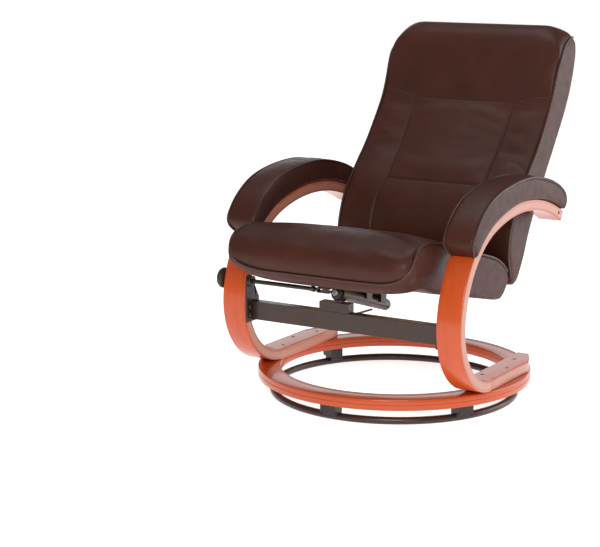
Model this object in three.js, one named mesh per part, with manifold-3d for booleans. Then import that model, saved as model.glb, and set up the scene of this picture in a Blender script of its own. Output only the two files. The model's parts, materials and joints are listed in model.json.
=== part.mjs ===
// Swivel recliner armchair: bentwood side frames on a wooden ring, leather seat and back.
// Millimetres, +Z up. The chair faces -Y and the sitter's left is +X.
// Everything is laid out about the swivel axis; the finished group is then moved along Y so
// that the origin is on the floor, in the middle of the chair's outline.
import * as THREE from 'three';
import { mergeVertices } from 'three/addons/utils/BufferGeometryUtils.js';
import Module from 'manifold-3d';

const wasm = await Module();
wasm.setup();

// ---- Driving dimensions -------------------------------------------------------------------
const fitGap = 0.3;                 // between pieces that touch
const swivelY = -72;                // the swivel axis, from the middle of the outline

const floorRing = { radius: 311, tube: 9 };
const woodRing = { inner: 292.5, outer: 350, bottom: 43.5, top: 71, round: 3 };
const guide = {
  count: 6, inner: 296, outer: 338, shoulder: 21, lip: 12, halfAngle: 3.4, screwRadius: 332,
};

const frameX = { inner: 268, outer: 332 };        // one side frame, across its width
const strip = 28;                                 // thickness of the bent strip
const footFront = -110;                           // where the straight foot starts to bend up
const bends = [[169, 97.5], [243, 64.5], [525, 44.8]];   // radius and angle of each bend
const footRear = 172;                             // where the foot ends, over the ring
const footScrews = [[288, -77], [313, 12], [293, 101]];
const screwDepth = 10;                            // how deep their heads are sunk in the foot

const pad = { inner: 263, outer: 343, round: 8 };
// The pad's thickness over the strip, against the strip's heading, from front to rear.
const padCrown = [
  [47.5, 34], [46.5, 50], [42, 57], [32, 65], [16, 68],
  [0, 60], [-12, 54], [-20, 48.5], [-24.4, 37], [-26, 16],
];

const pivot = { y: 266, z: 456 };                 // the back turns about this line
const hingeRadius = 200;                          // from there to the seat's rear pins
const hingeLean = 8;                              // degrees from plumb, with the back upright
const hinge = {
  y: pivot.y - hingeRadius * Math.sin(THREE.MathUtils.degToRad(hingeLean)),
  z: pivot.z - hingeRadius * Math.cos(THREE.MathUtils.degToRad(hingeLean)),
};
const slideSlope = 17;                            // degrees; the seat slides forwards and up

const beam = { front: -262, depth: 26, bottom: 208, top: 254, wall: 3, halfLength: 263.4 };
const saddle = { left: -68, right: 15, top: 277.5, depth: 26, wall: 4 };
const slide = { x: -16, y: -250, z: 299, radius: 15, bore: 15.5, front: 17, length: 272 };
const lock = { y: -272, z: 308, shaft: 5.5, knob: 26, knobInner: -334, knobOuter: -351, tip: -72 };

const seatHalf = 254;
const seatFall = 12.8;                            // degrees, the underside's slope to the rear
const boardThick = 12;
const boardHalf = 186;
const backHalf = 253;
const panelHalf = 240;
const panelThick = 12;
const coverThick = 3;
const backTop = 922;
const hingeX = boardHalf - 6.2;                   // inner face of the back's hinge arms

// ---- Materials ----------------------------------------------------------------------------
const finish = (color, roughness, metalness) =>
  new THREE.MeshStandardMaterial({ color, roughness, metalness });
const cherry = finish(0xc8501e, 0.3, 0);
const leather = finish(0x46302b, 0.5, 0);
const darkSteel = finish(0x2e2522, 0.42, 0.6);
const brightSteel = finish(0xc9c9cc, 0.25, 1);
const blackPlastic = finish(0x231c1a, 0.5, 0);
const plywood = finish(0xb98d5f, 0.7, 0);

// ---- Tools --------------------------------------------------------------------------------
const radians = THREE.MathUtils.degToRad;
const chair = new THREE.Group();

function piece(name, geometry, material, parent = chair) {
  const mesh = new THREE.Mesh(geometry, material);
  mesh.name = name;
  parent.add(mesh);
  return mesh;
}

function solid(geometry) {
  const bare = geometry.clone();
  bare.deleteAttribute('normal');
  bare.deleteAttribute('uv');
  const merged = mergeVertices(bare, 1e-4);
  return new wasm.Manifold(new wasm.Mesh({
    numProp: 3,
    vertProperties: new Float32Array(merged.attributes.position.array),
    triVerts: new Uint32Array(merged.index.array),
  }));
}

function surface(manifold) {
  const mesh = manifold.getMesh();
  const geometry = new THREE.BufferGeometry();
  geometry.setAttribute('position', new THREE.BufferAttribute(mesh.vertProperties, 3));
  geometry.setIndex(new THREE.BufferAttribute(mesh.triVerts, 1));
  return geometry;
}

// Cuts every tool out of a body, all given as geometries.
function cut(body, ...tools) {
  return surface(tools.reduce((rest, tool) => rest.subtract(solid(tool)), solid(body)));
}

function join(...bodies) {
  return surface(bodies.map(solid).reduce((sum, body) => sum.add(body)));
}

// An outline in the side view, [y, z] points or a Shape, given a width along X.
function sidewise(outline, x0, x1, round = 0, steps = 1) {
  const shape = outline instanceof THREE.Shape
    ? outline
    : new THREE.Shape(outline.map(([y, z]) => new THREE.Vector2(y, z)));
  const geometry = new THREE.ExtrudeGeometry(shape, {
    depth: x1 - x0 - 2 * round,
    bevelEnabled: round > 0,
    bevelThickness: round,
    bevelSize: round,
    bevelOffset: -round,
    bevelSegments: steps,
    curveSegments: 5,
  });
  const turn = new THREE.Matrix4().makeBasis(
    new THREE.Vector3(0, 1, 0), new THREE.Vector3(0, 0, 1), new THREE.Vector3(1, 0, 0));
  return geometry.applyMatrix4(turn).translate(x0 + round, 0, 0);
}

// A round bar along X. The corners of its section lie on the stated radius.
function barX(radius, x0, x1, y, z, sides = 16) {
  const length = Math.abs(x1 - x0);
  return new THREE.CylinderGeometry(radius, radius, length, sides)
    .rotateZ(Math.PI / 2).translate((x0 + x1) / 2, y, z);
}

function barZ(radius, z0, z1, x, y, sides = 12) {
  return new THREE.CylinderGeometry(radius, radius, z1 - z0, sides)
    .rotateX(Math.PI / 2).translate(x, y, (z0 + z1) / 2);
}

function block(x0, x1, y0, y1, z0, z1) {
  return new THREE.BoxGeometry(x1 - x0, y1 - y0, z1 - z0)
    .translate((x0 + x1) / 2, (y0 + y1) / 2, (z0 + z1) / 2);
}

// A closed [radius, height] section turned about the Z axis.
function turned(section, sides) {
  const points = [...section, section[0]].map(([r, z]) => new THREE.Vector2(r, z));
  return new THREE.LatheGeometry(points, sides).rotateX(Math.PI / 2);
}

// A smooth open line through [y, z] points.
function curve(points, count) {
  const line = new THREE.SplineCurve(points.map(([y, z]) => new THREE.Vector2(y, z)));
  return line.getSpacedPoints(count).map((p) => [p.x, p.y]);
}

// The same line, moved sideways by a distance: to the left of its direction if positive.
function beside(line, distance) {
  return line.map(([y, z], i) => {
    const [ay, az] = line[Math.max(i - 1, 0)];
    const [by, bz] = line[Math.min(i + 1, line.length - 1)];
    const length = Math.hypot(by - ay, bz - az);
    return [y - (bz - az) / length * distance, z + (by - ay) / length * distance];
  });
}

// A closed skin over a row of equal rings of [x, y, z] points, with flat ends.
function loft(rings) {
  const size = rings[0].length;
  const index = [];
  for (let i = 0; i + 1 < rings.length; i += 1) {
    for (let k = 0; k < size; k += 1) {
      const [a, b] = [i * size + k, i * size + (k + 1) % size];
      index.push(a, a + size, b, b, a + size, b + size);
    }
  }
  const end = (rings.length - 1) * size;
  for (let k = 1; k + 1 < size; k += 1) index.push(0, k, k + 1, end, end + k + 1, end + k);
  const geometry = new THREE.BufferGeometry();
  geometry.setAttribute('position', new THREE.Float32BufferAttribute(rings.flat(2), 3));
  geometry.setIndex(index);
  return geometry;
}

const mirrored = (geometry) => {
  const other = geometry.clone().scale(-1, 1, 1);
  const bare = other.index ? other.toNonIndexed() : other;
  const p = bare.attributes.position.array;
  for (let i = 0; i < p.length; i += 9) {
    for (let k = 0; k < 3; k += 1) [p[i + 3 + k], p[i + 6 + k]] = [p[i + 6 + k], p[i + 3 + k]];
  }
  bare.deleteAttribute('normal');
  bare.deleteAttribute('uv');
  return mergeVertices(bare, 1e-4);
};

// Left and right copies of a piece made for the sitter's left.
function pair(name, geometry, material) {
  piece(`${name}_left`, geometry, material);
  piece(`${name}_right`, mirrored(geometry), material);
}

// ---- Base: steel floor ring and wooden ring -------------------------------------------------
function makeFloorRing() {
  const section = [];
  for (let i = 0; i < 12; i += 1) {
    const angle = radians(15 + 30 * i);
    const radius = floorRing.tube / Math.cos(radians(15));
    section.push([
      floorRing.radius + radius * Math.cos(angle), floorRing.tube + radius * Math.sin(angle),
    ]);
  }
  piece('floor_ring', turned(section, 72), darkSteel);
}

const screwAt = (i) => {
  const angle = radians(30 + i * 360 / guide.count);
  return [guide.screwRadius * Math.cos(angle), guide.screwRadius * Math.sin(angle)];
};

function makeWoodRing() {
  const { inner, outer, bottom, top, round } = woodRing;
  const section = [
    [inner, bottom + round], [inner + round, bottom], [outer - round, bottom], [outer, bottom + round],
    [outer, top - round], [outer - round, top], [inner + round, top], [inner, top - round],
  ];
  const holes = [];
  for (let i = 0; i < guide.count; i += 1) holes.push(barZ(3, bottom - 5, bottom + 19, ...screwAt(i), 8));
  for (const side of [1, -1]) {
    for (const [x, y] of footScrews) holes.push(barZ(4, top - 18, top + 5, side * x, y, 8));
  }
  piece('wood_ring', cut(turned(section, 84), ...holes), cherry);
}

// Plastic shoes under the wooden ring that ride round the floor ring.
function makeGuides() {
  const top = woodRing.bottom - fitGap;
  const clear = floorRing.tube + 0.9;
  const groove = [];
  for (let angle = 20; angle <= 160; angle += 20) {
    groove.push([
      floorRing.radius + clear * Math.cos(radians(angle)),
      floorRing.tube + clear * Math.sin(radians(angle)),
    ]);
  }
  const section = [
    [guide.inner, top], [guide.inner, guide.lip + 2], [guide.inner + 2, guide.lip],
    ...groove.reverse(),
    [guide.outer - 13, guide.lip], [guide.outer - 12, guide.shoulder],
    [guide.outer, guide.shoulder], [guide.outer, top],
  ];
  const reach = guide.outer * Math.tan(radians(guide.halfAngle));
  const beyond = 1.12;
  const wedge = new THREE.Shape([
    [0, 0], [guide.outer * beyond, -reach * beyond], [guide.outer * beyond, reach * beyond],
  ].map(([x, y]) => new THREE.Vector2(x, y)));
  const sector = new THREE.ExtrudeGeometry(wedge, { depth: 80, bevelEnabled: false });
  const shoe = solid(turned(section, 84)).intersect(solid(sector.rotateZ(radians(30))));
  const hole = solid(barZ(3, 0, 60, ...screwAt(0), 8));
  const screw = new THREE.LatheGeometry([
    [0, -4], [3.4, -3.4], [5, -0.4], [5, 0], [2.6, 0], [2.6, 38], [0, 40],
  ].map(([r, z]) => new THREE.Vector2(r, z)), 8).rotateX(Math.PI / 2);
  screw.translate(screwAt(0)[0], screwAt(0)[1], guide.shoulder - fitGap);
  for (let i = 0; i < guide.count; i += 1) {
    const turn = i * 2 * Math.PI / guide.count;
    piece(`ring_guide_${i + 1}`, surface(shoe.subtract(hole)).rotateZ(turn), blackPlastic);
    piece(`guide_screw_${i + 1}`, screw.clone().rotateZ(turn), darkSteel);
  }
}

// ---- Bentwood side frames -------------------------------------------------------------------
// The strip's middle line in the side view: the foot runs forwards, then three bends carry it
// up the leg and back along the arm. A place on it is [y, z, heading in degrees from +Y].
function stripAt(wanted) {
  let [y, z, heading] = [footFront, woodRing.top + fitGap + strip / 2, 180];
  for (const [radius, angle] of bends) {
    const now = Math.max(wanted, heading - angle);
    y += radius * (Math.sin(radians(heading)) - Math.sin(radians(now)));
    z += radius * (Math.cos(radians(now)) - Math.cos(radians(heading)));
    heading = now;
    if (now === wanted) break;
  }
  return [y, z, heading];
}

function stripLine(step) {
  const [, footZ] = stripAt(180);
  const line = [[240, footZ, 180], [footFront, footZ, 180]];
  let heading = 180;
  for (const [radius, angle] of bends) {
    const count = Math.ceil(angle / step * Math.sqrt(radius / 200));
    for (let i = 1; i <= count; i += 1) line.push(stripAt(heading - angle * i / count));
    heading -= angle;
  }
  return line;
}

// A point at a distance outside the strip's middle line.
const outside = ([y, z, heading], distance) => [
  y - Math.sin(radians(heading)) * distance,
  z + Math.cos(radians(heading)) * distance,
];

function makeSideFrames() {
  const line = stripLine(9);
  const outline = [
    ...line.map((p) => outside(p, strip / 2)),
    ...line.map((p) => outside(p, -strip / 2)).reverse(),
  ];
  const { inner, outer } = frameX;
  const footTop = woodRing.top + fitGap + strip;
  // The foot stops short of the ring's back, and its outer corner follows the ring's edge.
  const beyond = solid(block(inner - 20, outer + 20, 80, 300, woodRing.top - 10, footTop + 10))
    .subtract(solid(barZ(woodRing.outer - 4, 0, 200, 0, 0, 84)));
  const behind = block(inner - 20, outer + 20, footRear, 300, woodRing.top - 10, footTop + 10);
  const trim = beyond.add(solid(behind));
  const holes = [
    ...footScrews.map(([x, y]) => barZ(3.2, 60, footTop + 5, x, y, 8)),
    ...footScrews.map(([x, y]) => barZ(5, footTop - screwDepth, footTop + 5, x, y, 14)),
    barX(4.8, inner - 5, outer + 5, pivot.y, pivot.z, 12),
    barX(6.6, outer - 8, outer + 5, pivot.y, pivot.z, 16),
    ...beamBoltPlaces.map(([y, z]) => barX(3.6, inner - 5, inner + 30, y, z, 8)),
  ];
  const body = (extra) => surface([...holes, ...extra].reduce(
    (rest, hole) => rest.subtract(solid(hole)),
    solid(sidewise(outline, inner, outer, 2.5)).subtract(trim)));
  piece('side_frame_left', body([]), cherry);
  // The right frame is also bored for the lock shaft.
  const shaftHole = barX(6.6, inner - 5, outer + 5, lock.y, lock.z, 14);
  piece('side_frame_right', mirrored(body([shaftHole])), cherry);

  const screw = new THREE.LatheGeometry([
    [0, -30], [2.6, -28], [2.6, 0], [4.4, 0], [4.4, 4], [3.6, 4.8], [0, 5],
  ].map(([r, z]) => new THREE.Vector2(r, z)), 10).rotateX(Math.PI / 2);
  footScrews.forEach(([x, y], i) => {
    pair(`foot_screw_${i + 1}`, screw.clone().translate(x, y, footTop - screwDepth + fitGap), darkSteel);
  });
}

// ---- Arm pads -------------------------------------------------------------------------------
// The pad lies on the outside of the strip and rounds over at each end.
function makeArmPads() {
  const { inner, outer } = pad;
  const rings = curve(padCrown, 26).map(([heading, thick]) => {
    const round = Math.min(pad.round, thick * 0.4);
    const chamfer = 0.3 * round;
    return [
      [inner, 2 * fitGap], [outer, 2 * fitGap], [outer, thick - round],
      [outer - chamfer, thick - chamfer], [outer - round, thick], [inner + round, thick],
      [inner + chamfer, thick - chamfer], [inner, thick - round],
    ].map(([x, height]) => [x, ...outside(stripAt(heading), strip / 2 + height)]);
  });
  pair('arm_pad', loft(rings), leather);
}

// ---- Cross beam between the legs ------------------------------------------------------------
const plateThick = 4;
const plateX = frameX.inner - fitGap;
const beamBoltPlaces = [[-274, 222], [-274, 242]];

function makeBeam() {
  const { front, depth, bottom, top, wall, halfLength } = beam;
  const channel = [
    [front, bottom], [front + depth, bottom], [front + depth, bottom + wall],
    [front + wall, bottom + wall], [front + wall, top - wall], [front + depth, top - wall],
    [front + depth, top], [front, top],
  ];
  piece('cross_beam', sidewise(channel, -halfLength, halfLength), darkSteel);

  // End plates: the left one holds only the beam, the right one rises to guide the lock shaft.
  const holes = beamBoltPlaces.map(([y, z]) => barX(3.6, plateX - 20, plateX + 5, y, z, 8));
  const low = block(plateX - plateThick, plateX, -285, -230, 203, 262);
  piece('beam_end_plate_left', cut(low, ...holes), darkSteel);
  const tall = new THREE.Shape();
  tall.moveTo(-285, 203);
  tall.lineTo(-230, 203);
  tall.lineTo(-230, 262);
  tall.lineTo(lock.y + 15, lock.z);
  tall.absarc(lock.y, lock.z, 15, 0, Math.PI, false);
  tall.lineTo(-285, 262);
  const raised = join(
    sidewise(tall, plateX - plateThick, plateX),
    barX(14, plateX - plateThick - 9, plateX - plateThick / 2, lock.y, lock.z, 20));
  piece('beam_end_plate_right',
    mirrored(cut(raised, ...holes, barX(6.4, plateX - 30, plateX + 5, lock.y, lock.z, 16))), darkSteel);

  const bolt = new THREE.LatheGeometry([
    [0, -24], [3, -22.5], [3, 0], [6.5, 0], [6.5, 3.2], [4.6, 4.6], [0, 5],
  ].map(([r, z]) => new THREE.Vector2(r, z)), 10).rotateZ(Math.PI / 2);
  beamBoltPlaces.forEach(([y, z], i) => {
    pair(`beam_bolt_${i + 1}`, bolt.clone().translate(plateX - plateThick - fitGap, y, z), darkSteel);
  });

  // The saddle stands on the beam and carries the clamp. It is open at the back.
  const { left, right, top: rise, depth: deep, wall: sheet } = saddle;
  const base = top + fitGap;
  piece('clamp_saddle', cut(
    block(left, right, front, front + deep, base, rise),
    block(left + sheet, right - sheet, front + sheet, front + deep + 5, base + sheet, rise - sheet),
  ), darkSteel);
}

// ---- Seat slide, clamp and lock -------------------------------------------------------------
// A piece drawn with its length along +Z is laid on the slide's line, pointing forwards and up.
function onSlide(geometry, along = 0, across = 0) {
  return geometry.clone().translate(0, across, along)
    .rotateX(Math.PI / 2 - radians(slideSlope)).translate(slide.x, slide.y, slide.z);
}

const latheZ = (section, sides) => new THREE.LatheGeometry(
  section.map(([r, z]) => new THREE.Vector2(r, z)), sides).rotateX(Math.PI / 2);

function makeSlide() {
  const { radius, front, length } = slide;
  const back = front - length;
  const inside = radius - 2.5;
  piece('slide_tube', onSlide(latheZ([
    [0, back], [7, back + 2], [inside - 1, back + 6], [radius, back + 13], [radius, front],
    [inside, front], [inside, back + 16], [0, back + 16],
  ], 20)), darkSteel);
  piece('slide_plug', onSlide(latheZ([
    [4.4, front - 12], [inside - fitGap, front - 12], [inside - fitGap, front + fitGap],
    [radius - 0.6, front + fitGap], [radius - 0.6, front + 2.5], [radius - 2, front + 3.5],
    [4.4, front + 3.5], [4.4, front - 12],
  ], 16)), blackPlastic);
  const head = new THREE.CylinderGeometry(8, 8, 6, 6).rotateX(Math.PI / 2).translate(0, 0, front + 7);
  const shank = new THREE.CylinderGeometry(4, 4, 18, 10).rotateX(Math.PI / 2).translate(0, 0, front - 4);
  piece('slide_bolt', onSlide(join(head, shank)), brightSteel);

  // The clamp sits on the saddle; its bore follows the slide and its ear takes the lock shaft.
  const bore = onSlide(barZ(slide.bore / Math.cos(Math.PI / 20), -80, 80, 0, 0, 20));
  const { x, y, z } = slide;
  const foot = saddle.top + fitGap;
  const ring = onSlide(barZ(radius + 4, -11, 11, 0, 0, 20));
  const stem = block(x - 9, x + 9, y - 9, y + 9, foot, z);
  // A stirrup at its side: two thin cheeks and the end plate that the lock shaft screws through.
  const cheek = (side) => block(x - 50, x - 10, lock.y - 7, y + 2, lock.z - 1.2, lock.z + 1.2)
    .translate(0, 0, 5 * side);
  const endPlate = block(x - 50, x - 46, lock.y - 7, lock.y + 7, lock.z - 5, lock.z + 5);
  const shaftEnd = barX(3.4, x - 60, x - 40, lock.y, lock.z, 12);
  piece('slide_clamp', cut(join(ring, stem, cheek(1), cheek(-1), endPlate), bore, shaftEnd,
    block(-300, 300, -400, 0, 0, foot)), darkSteel);
}

function makeLock() {
  const { y, z, shaft, knob, knobInner, knobOuter, tip } = lock;
  const shape = [
    [0, 0], [knob - 7, 0], [knob - 3, 2], [knob, 5], [knob, 10], [knob - 3, 14.5],
    [knob - 11, 17.2], [0, knobInner - knobOuter],
  ];
  const turnedKnob = new THREE.LatheGeometry(shape.map(([r, h]) => new THREE.Vector2(r, h)), 28)
    .rotateZ(Math.PI / 2).translate(knobInner, y, z);
  const socket = barX(shaft + fitGap, knobInner - 12, knobInner + 5, y, z, 14);
  piece('lock_knob', cut(turnedKnob, socket), blackPlastic);
  piece('lock_shaft', join(
    barX(shaft, knobInner - 11.5, tip, y, z, 14),
    barX(7.5, tip - 12, tip - 3, y, z, 6),
    barX(2.9, tip - 2, slide.x - 43, y, z, 10)), darkSteel);
}

// A thin wire stay from under the beam's top flange to below the slide tube.
function makeStay() {
  const route = new THREE.CatmullRomCurve3([
    [4, -256, 247.7], [4, -236, 247.4], [0, -200, 241], [-8, -140, 234.5], [-13, -96, 230.6],
  ].map((p) => new THREE.Vector3(...p)));
  const section = new THREE.Shape().absarc(0, 0, 3, 0, 2 * Math.PI, false);
  piece('slide_stay', new THREE.ExtrudeGeometry(section, {
    steps: 10, curveSegments: 4, bevelEnabled: false, extrudePath: route,
  }), darkSteel);
}

// ---- Seat -----------------------------------------------------------------------------------
const seatUnder = (y) => 325 - Math.tan(radians(seatFall)) * (y + 246);

function makeSeat() {
  const top = curve([
    [146, 262], [158, 286], [152, 310], [122, 341], [60, 372], [-60, 408], [-180, 447], [-270, 470],
    [-330, 467], [-379, 440], [-399, 404], [-390, 370], [-366, 344],
  ], 26);
  const outline = [...top, [-345, 334], [-246, seatUnder(-246)], [118, seatUnder(118)], [134, 247]];
  const y0 = -232;
  const y1 = 108;
  // The board; with a positive clearance it is the room for the board, open below.
  const slab = (clearance) => {
    const front = y0 - clearance;
    const rear = y1 + clearance;
    const below = 20 * Math.sign(clearance);
    const above = boardThick + clearance;
    return sidewise([
      [front, seatUnder(front) - below], [rear, seatUnder(rear) - below],
      [rear, seatUnder(rear) + above], [front, seatUnder(front) + above],
    ], -boardHalf - clearance, boardHalf + clearance);
  };
  piece('seat_board', slab(0), plywood);

  // Two hangers carry the slide tube under the board.
  const tubeMiddle = (y) => slide.z - Math.tan(radians(slideSlope)) * (y - slide.y);
  for (const [name, y] of [['front', -134], ['rear', -60]]) {
    const near = y - 14;
    const far = y + 14;
    const hold = sidewise([
      [near, seatUnder(near) - fitGap], [near, tubeMiddle(near) + 2],
      [far, tubeMiddle(far) + 2], [far, seatUnder(far) - fitGap],
    ], slide.x - 18, slide.x + 18);
    const bore = onSlide(barZ(slide.radius + 0.5, -400, 80, 0, 0, 20));
    piece(`tube_hanger_${name}`, cut(hold, bore), darkSteel);
  }

  // Side irons lie along the board's edges, sunk in the cushion, and run back to the pins that
  // the back's hinge arms pull on.
  const eye = 12;
  const ironFront = -60;
  const ironBend = 118;
  const ironRise = 18;
  const iron = new THREE.Shape();
  iron.moveTo(ironFront, seatUnder(ironFront) + 0.5);
  iron.lineTo(ironBend, seatUnder(ironBend) + 0.5);
  iron.lineTo(hinge.y, hinge.z - eye);
  iron.absarc(hinge.y, hinge.z, eye, -Math.PI / 2, Math.PI * 0.58, false);
  iron.lineTo(ironBend, seatUnder(ironBend) + ironRise);
  iron.lineTo(ironFront, seatUnder(ironFront) + ironRise);
  const ironRoom = sidewise([
    [ironFront - 1, seatUnder(ironFront) - 20], [ironBend + 50, seatUnder(ironBend) - 20],
    [ironBend + 50, seatUnder(ironBend) + ironRise + 5], [ironBend, seatUnder(ironBend) + ironRise + 0.6],
    [ironFront - 1, seatUnder(ironFront - 1) + ironRise + 0.6],
  ], hingeX + 6, hingeX + 12);
  piece('seat_cushion', cut(
    sidewise(outline, -seatHalf, seatHalf, 14, 2), slab(0.4), ironRoom, mirrored(ironRoom)), leather);
  const left = cut(sidewise(iron, hingeX + 6.5, hingeX + 11.5),
    barX(5.3, hingeX - 20, hingeX + 40, hinge.y, hinge.z, 14));
  pair('seat_iron', left, darkSteel);
  const pin = join(
    barX(5, hingeX - 3.5, hingeX + 14, hinge.y, hinge.z, 14),
    barX(8, hingeX + 11.8, hingeX + 16, hinge.y, hinge.z, 14));
  pair('hinge_pin', pin, brightSteel);
}

// ---- Back -----------------------------------------------------------------------------------
function makeBack() {
  const rear = curve([
    [220, 285], [248, 350], [275, 403], [320, 471], [367, 535], [433, 620], [488, 697], [525, 768],
    [545, 838], [537, 876],
  ], 20);
  const front = curve([
    [520, 914], [486, 921], [448, 905], [420, 846], [393, 752], [364, 697], [290, 604], [244, 558],
    [199, 512], [166, 470], [148, 430], [139, 385], [141, 350], [153, 320], [166, 292], [175, 275],
    [188, 267],
  ], 24);
  const outline = [...rear, ...front, [206, 270]];
  const shoulder = 66;
  const face = new THREE.Shape();
  face.moveTo(-backHalf - 1, 200);
  face.lineTo(backHalf + 1, 200);
  face.absarc(backHalf + 1 - shoulder, backTop - shoulder, shoulder, 0, Math.PI / 2, false);
  face.absarc(shoulder - backHalf - 1, backTop - shoulder, shoulder, Math.PI / 2, Math.PI, false);
  const seen = new THREE.ExtrudeGeometry(face, { depth: 600, bevelEnabled: false, curveSegments: 6 })
    .rotateX(Math.PI / 2).translate(0, 650, 0);

  const low = 1;
  const high = rear.length - 3;
  const inside = (depth) => beside(rear, depth).slice(low, high);
  const layer = (near, far) => [...inside(near), ...inside(far).reverse()];
  const deep = coverThick + panelThick + 3 * fitGap;
  const pocket = sidewise([
    ...beside(rear, -12).slice(0, high), ...beside(rear, deep).slice(0, high).reverse(),
  ], -panelHalf - 0.4, panelHalf + 0.4);

  // A plate on each edge of the panel turns on the pivot bolt.
  const link = new THREE.Shape();
  link.absarc(pivot.y, pivot.z, 17, radians(120), radians(290), false);
  link.lineTo(318, 486);
  link.lineTo(338, 514);
  link.lineTo(326, 521);
  const linkX = panelHalf + 0.7;
  const linkCut = sidewise(link, linkX - 2, linkX + 40);
  const boltRoom = barX(8, linkX - 10, linkX + 40, pivot.y, pivot.z, 14);

  const full = solid(sidewise(outline, -backHalf, backHalf, 13, 2)).intersect(solid(seen));
  const cutters = [pocket, linkCut, mirrored(linkCut), boltRoom, mirrored(boltRoom)];
  const cushion = cutters.reduce((rest, tool) => rest.subtract(solid(tool)), full);
  piece('back_cushion', surface(cushion), leather);
  const panel = layer(coverThick + fitGap, coverThick + fitGap + panelThick);
  piece('back_panel', sidewise(panel, -panelHalf, panelHalf), plywood);
  piece('back_cover', sidewise(layer(0, coverThick), -panelHalf, panelHalf), leather);

  pair('back_pivot_plate', cut(
    sidewise(link, linkX, linkX + 5), barX(4.8, linkX - 5, linkX + 9, pivot.y, pivot.z, 14)), darkSteel);

  // Hinge arms hang from the panel's foot. Each has a slot for the seat's pin, along the line
  // to the pivot, because the pin's distance from the pivot changes as the seat slides.
  const lean = radians(hingeLean);
  const arm = new THREE.Shape();
  const [rearFoot, frontFoot] = [panel[0], panel.at(-1)];
  arm.moveTo(rearFoot[0] - 0.5, rearFoot[1] - 1);
  arm.lineTo(hinge.y + 15, hinge.z + 8);
  arm.absarc(hinge.y, hinge.z - 3, 15, radians(30), radians(-190), true);
  arm.lineTo(frontFoot[0] + 0.5, frontFoot[1] - 1);
  const slot = new THREE.Shape();
  slot.absarc(0, 4.2, 6.5, 0, Math.PI, false);
  slot.absarc(0, -6.6, 6.5, Math.PI, 2 * Math.PI, false);
  const slotCut = sidewise(slot, hingeX - 20, hingeX + 30)
    .rotateX(-lean).translate(0, hinge.y, hinge.z);
  pair('back_hinge_arm', cut(sidewise(arm, hingeX, hingeX + 5), slotCut), darkSteel);

  // Pivot bolt and spacer, held by the arm of the side frame.
  const { y, z } = pivot;
  const { inner, outer } = frameX;
  const bolt = join(
    barX(4, linkX - 3, outer - 8 + fitGap, y, z, 14),
    barX(6, outer - 8 + fitGap, outer - 2, y, z, 16));
  pair('pivot_bolt', cut(bolt, barX(2.8, outer - 5, outer, y, z, 6)), darkSteel);
  pair('pivot_spacer', cut(
    barX(10, backHalf + 3, inner - fitGap, y, z, 18), barX(4.6, 200, 300, y, z, 14)), blackPlastic);
}

makeFloorRing();
makeWoodRing();
makeGuides();
makeSideFrames();
makeArmPads();
makeBeam();
makeSlide();
makeLock();
makeStay();
makeSeat();
makeBack();

chair.position.y = swivelY;

export default chair;
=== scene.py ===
import json
import math

import bpy
import numpy as np
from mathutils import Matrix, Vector
from mathutils.bvhtree import BVHTree
from mathutils.kdtree import KDTree


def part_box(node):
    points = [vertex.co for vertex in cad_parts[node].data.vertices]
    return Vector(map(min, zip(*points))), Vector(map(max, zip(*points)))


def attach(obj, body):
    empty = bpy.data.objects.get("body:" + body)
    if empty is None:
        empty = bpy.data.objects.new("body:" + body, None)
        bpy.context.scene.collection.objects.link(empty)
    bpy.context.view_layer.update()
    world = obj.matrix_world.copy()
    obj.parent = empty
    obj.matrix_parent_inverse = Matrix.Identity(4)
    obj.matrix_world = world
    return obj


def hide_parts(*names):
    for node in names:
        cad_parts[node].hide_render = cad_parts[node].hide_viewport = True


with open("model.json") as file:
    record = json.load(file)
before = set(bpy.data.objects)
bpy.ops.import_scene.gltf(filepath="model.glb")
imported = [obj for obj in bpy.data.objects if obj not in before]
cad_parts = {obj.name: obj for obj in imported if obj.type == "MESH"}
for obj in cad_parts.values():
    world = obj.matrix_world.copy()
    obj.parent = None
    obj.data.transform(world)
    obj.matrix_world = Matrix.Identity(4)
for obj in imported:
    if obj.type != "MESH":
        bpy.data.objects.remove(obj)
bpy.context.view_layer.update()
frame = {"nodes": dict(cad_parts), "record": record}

scene = bpy.context.scene
nodes = frame["nodes"]

# ---- Driving dimensions -------------------------------------------------------------------
SWIVEL_Y = -0.072                    # the swivel axis
RING_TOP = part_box("wood_ring")[1].z
RING_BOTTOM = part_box("wood_ring")[0].z
FRAME_X = (0.268, 0.332)             # one side frame, across its width
STRIP = 0.028                        # thickness of the bent strip
FOOT_FRONT = -0.182                  # where the straight foot starts to bend up
FOOT_REAR = 0.100
BENDS = ((0.169, 97.5), (0.243, 64.5), (0.525, 44.8))
PIVOT = (0.194, 0.456)
LOCK = (-0.344, 0.308)
FOOT_SCREWS = ((0.288, -0.149), (0.313, -0.06), (0.293, 0.029))
PAD_X = (0.2635, 0.343)
SEAT_HALF = 0.253
BACK_HALF = 0.2525
BACK_TOP = 0.923
SWELL_HALF = 0.2575                  # how far from the middle the cushions' sides may swell
BOARD_HALF = 0.1925                  # room for the seat board and its irons
COVER_HALF = 0.2395                  # the panel over the rear of the back
RING_RADII = (0.2925, 0.350)         # the wooden ring, inside and outside
FOOT_TRIM = 0.346                    # radius about the swivel axis that the feet's edges follow
CUSHION_VOXEL = 0.0055
PAD_VOXEL = 0.004
SEAM_PULL = 0.0020                   # how deep a seam lies in the leather
PIPE = 0.0031                        # radius of the piping


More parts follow.
